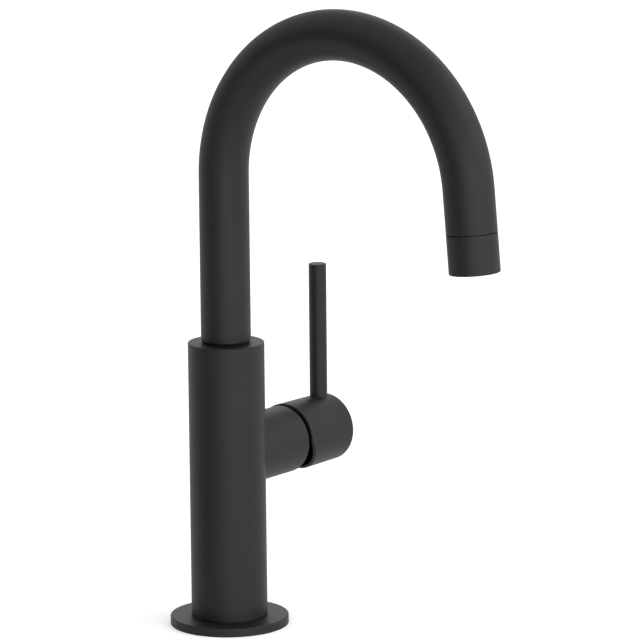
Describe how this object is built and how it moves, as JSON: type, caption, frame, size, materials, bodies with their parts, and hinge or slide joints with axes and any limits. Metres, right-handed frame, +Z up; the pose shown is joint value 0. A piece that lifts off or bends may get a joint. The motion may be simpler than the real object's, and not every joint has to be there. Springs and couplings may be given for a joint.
{
  "type": "basin mixer tap",
  "caption": "Single-hole basin mixer tap: round column on a thin flange, swivelling gooseneck spout, and a side lever with an upright pin for flow and temperature.",
  "frame": {"origin": "middle of the underside, on the axis of the column, at deck level", "axes": "+Z up along the column, -Y the way the spout reaches, +X out along the lever axis"},
  "size_m": [0.099, 0.1736, 0.2814],
  "materials": {
    "black_coat": "matt",
    "seal_rubber": "matt",
    "black_plastic": "matt",
    "cartridge_plastic": "satin",
    "aerator_plastic": "satin",
    "disc_ceramic": "polished",
    "raw_brass": "machined",
    "steel": "satin"
  },
  "bodies": {
    "body": {"body_column": "black_coat", "base_flange": "black_coat", "base_seal": "seal_rubber", "stop_screw": "steel", "cartridge_base": "cartridge_plastic", "port_seals": "seal_rubber", "disc_seals": "seal_rubber", "fixed_disc": "disc_ceramic", "cartridge_housing": "cartridge_plastic", "cartridge_nut": "raw_brass", "dome_ring": "black_plastic"},
    "spout": {"spout_tube": "black_coat", "spout_spigot": "raw_brass", "upper_seal": "seal_rubber", "lower_seal": "seal_rubber", "guide_ring": "black_plastic", "glide_ring": "black_plastic", "outlet_ferrule": "black_coat", "aerator_collar": "black_coat", "aerator_washer": "seal_rubber", "aerator_cage": "aerator_plastic", "aerator_screen": "steel"},
    "mixer_rotor": {"cartridge_rotor": "cartridge_plastic", "pivot_pin": "steel"},
    "disc_slider": {"moving_disc": "disc_ceramic", "disc_carrier": "cartridge_plastic"},
    "lever": {"lever_stem": "raw_brass", "handle_hub": "black_coat", "hub_screw": "steel", "screw_cap": "seal_rubber", "lever_pin": "black_coat"}
  },
  "joints": [
    {"name": "spout_swivel", "type": "hinge", "parent": "body", "child": "spout", "pos_m": [0, 0, 0.1283], "axis": [0, 0, 1], "range_deg": [-60, 60]},
    {"name": "mix_turn", "type": "hinge", "parent": "body", "child": "mixer_rotor", "pos_m": [0.03598, 0, 0.0768], "axis": [1, 0, 0], "range_deg": [-50, 50]},
    {"name": "flow_tilt", "type": "hinge", "parent": "mixer_rotor", "child": "lever", "pos_m": [0.03598, 0, 0.0768], "axis": [0, 1, 0], "range_deg": [0, 25]},
    {"name": "disc_slide", "type": "slide", "parent": "mixer_rotor", "child": "disc_slider", "axis": [0, 0, 1], "range_m": [0, 0.00398]}
  ],
  "couplings": [
    {"joint": "disc_slide", "follows": "flow_tilt", "m_per_rad": 0.009}
  ]
}
